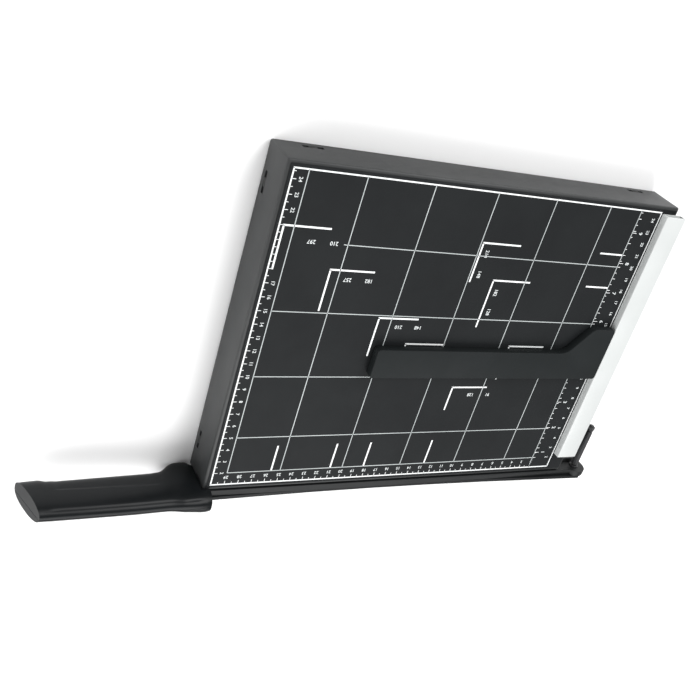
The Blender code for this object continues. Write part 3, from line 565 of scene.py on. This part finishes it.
def make_pivot():
    """Shoulder bolt with a hexagon socket, its two washers and its nut."""
    low, high = bench_box("pivot_bolt")
    bolt = [(low.x, 0.0), (low.x, BOLT_SHANK - BOLT_TIP), (low.x + BOLT_TIP, BOLT_SHANK),
            (BOLT_STEP_X, BOLT_SHANK), (BOLT_STEP_X, BOLT_SHOULDER - BOLT_STEP),
            (BOLT_STEP_X + BOLT_STEP, BOLT_SHOULDER), (high.x - BOLT_HEAD_TALL, BOLT_SHOULDER),
            (high.x - BOLT_HEAD_EDGE, BOLT_HEAD), (high.x, BOLT_HEAD - BOLT_HEAD_EDGE),
            (high.x, 0.0)]
    screw = lathe("pivot_shoulder_bolt", bolt, PIVOT_FOOT, ALONG_X, "black_oxide", "arm",
                  "pivot_bolt")
    cut_rod(screw, (high.x - SOCKET_DEEP, PIVOT.y, PIVOT.z), SOCKET, SOCKET_CUT, 6)
    bore = BOLT_SHANK + WASHER_CLEAR
    for node, body in (("pivot_washer_inner", "base"), ("pivot_washer_outer", "arm")):
        low, high = bench_box(node)
        outer = 0.5 * (high.y - low.y)
        edge = outer - WASHER_EDGE
        ring = [(low.x, bore), (low.x, edge), (low.x + WASHER_EDGE, outer),
                (high.x - WASHER_EDGE, outer), (high.x, edge), (high.x, bore)]
        lathe(node + "_ring", ring, PIVOT_FOOT, ALONG_X, "black_oxide", body, node)
    rounded_from("pivot_nut", "pivot_lock_nut", "black_oxide", "arm", NUT_EDGE)


def make_spring():
    """Black compression spring: round wire along a helix round the bolt."""
    low, high = bench_box("pivot_spring")
    edit = bmesh.new()
    rings = []
    total = SPRING_TURNS * SPRING_STEPS
    near, far = high.x - SPRING_WIRE - SPRING_CLEAR, low.x + SPRING_WIRE + SPRING_CLEAR
    for i in range(total + 1):
        angle = 2.0 * math.pi * i / SPRING_STEPS
        radial = Vector((0.0, math.cos(angle), math.sin(angle)))
        centre = Vector((near + (far - near) * i / total, PIVOT.y, PIVOT.z)) + radial * SPRING_MEAN
        ring = []
        for k in range(SPRING_SIDES):
            turn = 2.0 * math.pi * k / SPRING_SIDES
            spoke = radial * math.cos(turn) + Vector((math.sin(turn), 0.0, 0.0))
            ring.append(edit.verts.new(centre + spoke * SPRING_WIRE))
        rings.append(ring)
    for lower, upper in zip(rings, rings[1:]):
        bridge(edit, lower, upper)
    cap(edit, rings)
    return to_object("pivot_coil", edit, "black_oxide", "base", smooth=SPRING_SMOOTH,
                     replaces=("pivot_spring",))


# Screw families: node prefix, how many, body, direction from head to tip, shank radius.
SCREW_FAMILIES = (("fixed_blade_screw", 4, "base", (1, 0, 0), 1.6),
                  ("bracket_wall_screw", 2, "base", (0, 1, 0), 1.6),
                  ("bracket_side_screw", 2, "base", (1, 0, 0), 1.6),
                  ("fence_screw", 3, "base", (0, 0, 1), 1.5),
                  ("handle_screw", 2, "arm", (-1, 0, 0), 1.6))
SCREW_SIDES = 28
THREAD_DEPTH = 0.22
THREAD_PITCH = 0.7
THREAD_START = 0.5         # from under the head
THREAD_END = 0.7           # from the tip
TIP_LONG = 0.6
TIP_SHARE = 0.55
HEAD_TALL = 0.6            # height of a head as a share of its radius
HEAD_TOP = 0.02
HEAD_CURVE = ((0.14, 0.78), (0.42, 0.96), (0.7, 0.985), (1.0, 0.97))   # shares of height and radius
HEAD_FLAT = 0.5
RECESS_LONG, RECESS_WIDE, RECESS_DEEP = 0.62, 0.16, 0.45   # of the head's radius, radius and height
MAGNET_EDGE = 0.4


def make_screws():
    """Pan-head screws with ringed shanks and a cross recess in each head."""
    for prefix, count, body, axis, shank in SCREW_FAMILIES:
        direction = Vector(axis)
        for number in range(1, count + 1):
            node = f"{prefix}_{number}"
            low, high = bench_box(node)
            centre = 0.5 * (low + high)
            size = high - low
            along = abs(direction.dot(size))
            head = 0.5 * max(size.y, size.z) if axis[0] else 0.5 * size.x
            start = centre - direction * (0.5 * along)
            tall = HEAD_TALL * head
            profile = [(HEAD_TOP, 0.0), (HEAD_TOP, HEAD_FLAT * head)]
            profile += [(down * tall, out * head) for down, out in HEAD_CURVE]
            profile.append((tall, shank))
            at = tall + THREAD_START
            while at + THREAD_PITCH < along - THREAD_END:
                profile += [(at, shank), (at + 0.5 * THREAD_PITCH, shank - THREAD_DEPTH)]
                at += THREAD_PITCH
            profile += [(along - TIP_LONG, shank), (along, TIP_SHARE * shank), (along, 0.0)]
            screw = lathe(node + "_shape", profile, start, axis, "zinc", body, node, SCREW_SIDES)
            long, wide = RECESS_LONG * head, RECESS_WIDE * head
            for turned in (False, True):
                reach = [wide, long] if turned else [long, wide]
                corner = [reach.pop() if not axis[i] else RECESS_DEEP * tall for i in range(3)]
                cut_box(screw, start - Vector(corner), start + Vector(corner))


def make_magnets():
    """Discs let into the guide's underside."""
    for number in (1, 2, 3):
        node = f"guide_magnet_{number}"
        low, high = bench_box(node)
        radius = 0.5 * (high.x - low.x)
        tall = high.z - low.z
        edge = radius - MAGNET_EDGE
        profile = [(0.0, 0.0), (0.0, edge), (MAGNET_EDGE, radius), (tall - MAGNET_EDGE, radius),
                   (tall, edge), (tall, 0.0)]
        centre = 0.5 * (low + high)
        foot = (centre.x, centre.y, low.z)
        lathe(node + "_disc", profile, foot, (0, 0, 1), "magnet", "guide", node)


# ---------------------------------------------------------------- handle

HANDLE_MIDDLE = 0.5 * (bench_box("cutting_arm")[0].x + bench_box("cutting_arm")[1].x)
HANDLE_FRONT = bench_box("handle_right")[0].y
HANDLE_BACK = bench_box("handle_right")[1].y
TIP_SLANT = 10.0
SEAM_GAP = 0.15
SEAM_BEVEL = 0.55
SEAM_BEVEL_ANGLE = 38.0
SEAM_BEVEL_SEGMENTS = 3
HANDLE_SMOOTH = 32.0
HANDLE_ROUND = 104
HANDLE_STEPS = 116

# Finger panel sunk into the flank towards the bed, and the line moulded beside the crest.
PANEL_SPAN = (-404.0, -331.0)
PANEL_TOP = -6.3
PANEL_DEPTH = 0.45
PANEL_STEP = 0.4           # half the height over which the panel's upper edge sinks
PANEL_FADE = 5.0
LINE_SPAN = (-411.0, -303.0)
LINE_FADE = 8.0
LINE_X = -4.0
LINE_WIDTH = 0.55
LINE_DEPTH = 0.32

HANDLE_LEAN = 0.8          # the crest leans this far from the section's middle, the underside back
SECTION_BLUR = 1.3
SEAM_HALVINGS = 26

# Sections along the handle: y, underside, top, middle in x, half-thickness, and squareness of the
# lower and the upper half (2 is an ellipse, 5 nearly a rectangle).
HANDLE_SECTIONS = (
    (-430.0, -20.4, 12.1, -0.4, 7.75, 2.5, 2.1),
    (-423.0, -20.4, 12.1, -0.4, 7.75, 2.5, 2.1),
    (-410.5, -21.6, 12.0, -0.4, 7.75, 2.5, 2.1),
    (-406.8, -19.8, 12.0, -0.4, 7.75, 2.5, 2.1),
    (-385.0, -20.7, 11.9, -0.4, 7.75, 2.6, 2.1),
    (-355.0, -21.8, 11.5, -0.4, 7.75, 2.9, 2.1),
    (-329.6, -22.8, 10.5, -0.4, 7.75, 3.1, 2.1),
    (-326.0, -25.0, 10.5, -0.3, 7.75, 3.9, 2.2),
    (-322.0, -28.4, 10.9, -0.2, 7.85, 5.4, 2.4),
    (-318.6, -30.1, 11.2, -0.1, 7.95, 6.6, 2.6),
    (-309.4, -30.5, 10.9, 0.7, 8.8, 7.0, 2.5),
    (-306.4, -27.3, 10.7, 1.0, 9.1, 5.6, 2.5),
    (-302.0, -26.9, 10.3, 1.1, 9.3, 5.6, 2.5),
    (-299.4, -25.4, 9.4, 1.1, 8.9, 5.6, 2.5),
)
COLLAR_CLEAR_Y = -305.9    # the left shell is cut away behind here, up to the height below
COLLAR_REST_Z = 0.5
COLLAR_CUT_LEFT = -20.0
COLLAR_CUT_LOW = -60.0
COLLAR_CUT_PAST = 1.0      # past the handle's middle
PAST_BACK = 5.0            # cutters run on this far behind the handle
TANG_HALF = 1.3
TANG_CLEAR = 0.3
TANG_LOW = -15.3
TANG_HIGH = -1.7
TANG_FRONT = -399.0
SCREW_BORE = 4.1
SCREW_SEAT = 2.6
SCREW_BORE_LONG = 12.0
SCREWS_Y = (-385.0, -322.0)
SCREWS_Z = -8.5


def straight_section(y):
    """Section values at y, straight between the neighbouring sections."""
    for low, high in zip(HANDLE_SECTIONS, HANDLE_SECTIONS[1:]):
        if y <= high[0]:
            share = max((y - low[0]) / (high[0] - low[0]), 0.0)
            return [a + (b - a) * share for a, b in zip(low[1:], high[1:])]
    return list(HANDLE_SECTIONS[-1][1:])


def section_at(y):
    """Section values at y, averaged over a short length so that no corner is left there."""
    rows = [straight_section(y + SECTION_BLUR * step) for step in (-1.0, -0.5, 0.0, 0.5, 1.0)]
    return [sum(values) / len(rows) for values in zip(*rows)]


def power(value, exponent):
    """Power that keeps the sign of the value."""
    return math.copysign(abs(value) ** exponent, value)


def ease(value, start, end):
    """0 at start and 1 at end, smooth between them."""
    share = min(max((value - start) / (end - start), 0.0), 1.0)
    return share * share * (3.0 - 2.0 * share)


def within(value, bounds, soft):
    """1 inside the bounds, easing to 0 at each of them over a soft length."""
    return ease(value, bounds[0], bounds[0] + soft) * ease(value, bounds[1], bounds[1] - soft)


def half_ring(y, side):
    """Outline of one half shell at y, from the top of the seam round the outside to the bottom."""
    low, high, middle_x, half, square_low, square_high = section_at(y)
    middle_z = 0.5 * (low + high)
    tall = 0.5 * (high - low)

    def point(turn):
        """Point of the whole section; turn is 0 at its top and grows towards this side."""
        square = square_high if math.cos(turn) > 0.0 else square_low
        rise = power(math.cos(turn), 2.0 / square)
        x = middle_x + HANDLE_LEAN * rise + side * half * power(math.sin(turn), 2.0 / square)
        z = middle_z + tall * rise
        if side < 0.0:
            line = math.exp(-((x - LINE_X) / LINE_WIDTH) ** 2) if z > 0.0 else 0.0
            z -= LINE_DEPTH * line * within(y, LINE_SPAN, LINE_FADE)
            sunk = ease(z, PANEL_TOP + PANEL_STEP, PANEL_TOP - PANEL_STEP)
            x += PANEL_DEPTH * sunk * within(y, PANEL_SPAN, PANEL_FADE)
        return x, z

    def seam_turn(low_turn, high_turn):
        """Turn between two bounds at which the section crosses the seam plane."""
        seam = HANDLE_MIDDLE + side * SEAM_GAP
        rising = side * (point(high_turn)[0] - point(low_turn)[0]) > 0.0
        for _ in range(SEAM_HALVINGS):
            middle_turn = 0.5 * (low_turn + high_turn)
            beyond = side * (point(middle_turn)[0] - seam) > 0.0
            if beyond == rising:
                high_turn = middle_turn
            else:
                low_turn = middle_turn
        return 0.5 * (low_turn + high_turn)

    first = seam_turn(-0.5 * math.pi, 0.5 * math.pi)
    last = seam_turn(0.5 * math.pi, 1.5 * math.pi)
    ring = []
    for k in range(HANDLE_ROUND + 1):
        x, z = point(first + (last - first) * k / HANDLE_ROUND)
        ring.append((x, y, z))
    return ring


def make_handle_half(name, side, node):
    """Half shell on one side (-1 left, 1 right) of the seam, with its slanted tip and its cuts."""
    edit = bmesh.new()
    span_y = HANDLE_SECTIONS[-1][0] - HANDLE_SECTIONS[0][0]
    rings = []
    for step in range(HANDLE_STEPS + 1):
        y = HANDLE_SECTIONS[0][0] + span_y * step / HANDLE_STEPS
        rings.append([edit.verts.new(point) for point in half_ring(y, side)])
    for lower, upper in zip(rings, rings[1:]):
        for a, b, c, d in zip(lower, lower[1:], upper[1:], upper):
            edit.faces.new((a, b, c, d))
        edit.faces.new((lower[0], upper[0], upper[-1], lower[-1]))
    cap(edit, rings)
    bmesh.ops.recalc_face_normals(edit, faces=edit.faces[:])
    first = HANDLE_SECTIONS[0]
    slant = TIP_SLANT / (first[2] - first[1])
    geometry = edit.verts[:] + edit.edges[:] + edit.faces[:]
    found = bmesh.ops.bisect_plane(edit, geom=geometry, plane_co=(0.0, HANDLE_FRONT, first[1]),
                                   plane_no=(0.0, -1.0, slant), clear_outer=True)["geom_cut"]
    bmesh.ops.edgeloop_fill(edit, edges=[e for e in found if isinstance(e, bmesh.types.BMEdge)])
    piece = to_object(name, edit, "handle_plastic", "arm", smooth=HANDLE_SMOOTH, replaces=(node,))
    cut_box(piece, (HANDLE_MIDDLE - TANG_HALF - TANG_CLEAR, TANG_FRONT, TANG_LOW),
            (HANDLE_MIDDLE + TANG_HALF + TANG_CLEAR, HANDLE_BACK + PAST_BACK, TANG_HIGH))
    if side < 0:
        cut_box(piece, (COLLAR_CUT_LEFT, COLLAR_CLEAR_Y, COLLAR_CUT_LOW),
                (HANDLE_MIDDLE + COLLAR_CUT_PAST, HANDLE_BACK + PAST_BACK, COLLAR_REST_Z))
    else:
        for y in SCREWS_Y:
            cut_rod(piece, (HANDLE_MIDDLE + SCREW_SEAT, y, SCREWS_Z), SCREW_BORE, SCREW_BORE_LONG)
    edges = piece.modifiers.new("edges", "BEVEL")
    edges.width = SEAM_BEVEL * MM
    edges.segments = SEAM_BEVEL_SEGMENTS
    edges.limit_method = "ANGLE"
    edges.angle_limit = math.radians(SEAM_BEVEL_ANGLE)
    edges.use_clamp_overlap = True
    return piece


def apply_cut(piece, tool):
    """Take the tool's volume from the piece, and remove the tool."""
    modifier = piece.modifiers.new("cut", "BOOLEAN")
    modifier.operation = "DIFFERENCE"
    modifier.solver = "EXACT"
    modifier.object = tool
    graph = bpy.context.evaluated_depsgraph_get()
    shaped = bpy.data.meshes.new_from_object(piece.evaluated_get(graph))
    piece.modifiers.clear()
    old = piece.data
    piece.data = shaped
    bpy.data.meshes.remove(old)
    bpy.data.objects.remove(tool)


def cutter(edit):
    """Object for one cut, from a bench-millimetre bmesh."""
    for vert in edit.verts:
        vert.co = place(*vert.co)
    bmesh.ops.recalc_face_normals(edit, faces=edit.faces[:])
    mesh = bpy.data.meshes.new("cutter")
    edit.to_mesh(mesh)
    edit.free()
    made = bpy.data.objects.new("cutter", mesh)
    bpy.context.scene.collection.objects.link(made)
    return made


def cut_box(piece, low, high):
    edit = bmesh.new()
    add_box(edit, low, high)
    apply_cut(piece, cutter(edit))


def cut_rod(piece, foot, radius, length, sides=32):
    """Round cutter along X."""
    edit = bmesh.new()
    rings = []
    for x in (foot[0], foot[0] + length):
        rings.append([edit.verts.new((x, foot[1] + radius * math.cos(2.0 * math.pi * k / sides),
                                      foot[2] + radius * math.sin(2.0 * math.pi * k / sides)))
                      for k in range(sides)])
    bridge(edit, *rings)
    cap(edit, rings)
    apply_cut(piece, cutter(edit))


# ---------------------------------------------------------------- stage, light and camera

FLOOR_HALF = 3.0
FLOOR_COLOUR = (0.94, 0.94, 0.94, 1.0)
FLOOR_ROUGHNESS = 0.9
WORLD_COLOUR = (1.0, 1.0, 1.0, 1.0)
WORLD_STRENGTH = 0.40
LIGHT_AIM = (0.0, -0.02, 0.02)

# Soft area lights: name, place, size in metres and power in watts.
LIGHTS = (
    ("key", (-1.4, 0.9, 1.5), (1.5, 1.5), 43.0),
    ("front_fill", (0.5, -1.5, 0.9), (1.3, 0.9), 22.0),
    ("side_fill", (1.4, 0.3, 1.7), (1.5, 1.5), 32.0),
)


def make_stage():
    """Plain pale floor."""
    floor_edit = bmesh.new()
    outline = ((-FLOOR_HALF, -FLOOR_HALF), (FLOOR_HALF, -FLOOR_HALF), (FLOOR_HALF, FLOOR_HALF),
               (-FLOOR_HALF, FLOOR_HALF))
    floor_edit.faces.new([floor_edit.verts.new((x, y, 0.0)) for x, y in outline])
    mesh = bpy.data.meshes.new("floor")
    floor_edit.to_mesh(mesh)
    floor_edit.free()
    floor = bpy.data.objects.new("floor", mesh)
    bpy.context.scene.collection.objects.link(floor)
    made, _, shader = shader_of("pale_floor")
    shader.inputs["Base Color"].default_value = FLOOR_COLOUR
    shader.inputs["Roughness"].default_value = FLOOR_ROUGHNESS
    mesh.materials.append(made)


def area_light(name, at, size, energy):
    light = bpy.data.lights.new(name, "AREA")
    light.shape = "RECTANGLE"
    light.size, light.size_y = size
    light.energy = energy
    made = bpy.data.objects.new(name, light)
    made.location = at
    towards = Vector(LIGHT_AIM) - Vector(at)
    made.rotation_euler = towards.to_track_quat("-Z", "Y").to_euler()
    bpy.context.scene.collection.objects.link(made)


def make_light():
    """Even white surround and three soft lights; Standard keeps the whites and the print white."""
    bpy.context.scene.view_settings.view_transform = "Standard"
    world = bpy.data.worlds.new("studio")
    bpy.context.scene.world = world
    world.use_nodes = True
    background = world.node_tree.nodes["Background"]
    background.inputs["Color"].default_value = WORLD_COLOUR
    background.inputs["Strength"].default_value = WORLD_STRENGTH
    for row in LIGHTS:
        area_light(*row)


# Camera at the photograph's angle: its place and the two directions that turn it.
CAMERA_AT = (-0.31808, -0.3637, 0.54038)
CAMERA_LOOK = Vector((0.456, 0.525, -0.719))
CAMERA_UP = Vector((-0.840, -0.013, -0.542))
LENS = 51.58
SENSOR = 36.0
SHIFT = (-0.073, 0.0106)
CLIP = (0.02, 20.0)


def make_camera():
    data = bpy.data.cameras.new("camera")
    data.lens = LENS
    data.sensor_width = SENSOR
    data.shift_x, data.shift_y = SHIFT
    data.clip_start, data.clip_end = CLIP
    made = bpy.data.objects.new("camera", data)
    back = -CAMERA_LOOK.normalized()
    right = CAMERA_UP.cross(back).normalized()
    up = back.cross(right)
    made.matrix_world = Matrix([(right[i], up[i], back[i], CAMERA_AT[i]) for i in range(3)]
                               + [(0.0, 0.0, 0.0, 1.0)])
    bpy.context.scene.collection.objects.link(made)
    bpy.context.scene.camera = made


def finish_cad_nodes():
    """Carried-over CAD nodes take the finish of their material slot."""
    for row in frame["record"]["subparts"]:
        node = NODES[row["node"]]
        node.data.materials.clear()
        node.data.materials.append(LOOKS[row["material_slot"]])


def main():
    finish_cad_nodes()
    make_border()
    make_grid()
    make_ticks()
    make_marks()
    make_numbers()
    make_shells()
    make_knife()
    make_pivot()
    make_spring()
    make_screws()
    make_magnets()
    make_handle_half("handle_shell_left", -1.0, "handle_left")
    make_handle_half("handle_shell_right", 1.0, "handle_right")
    make_stage()
    make_light()
    make_camera()


main()
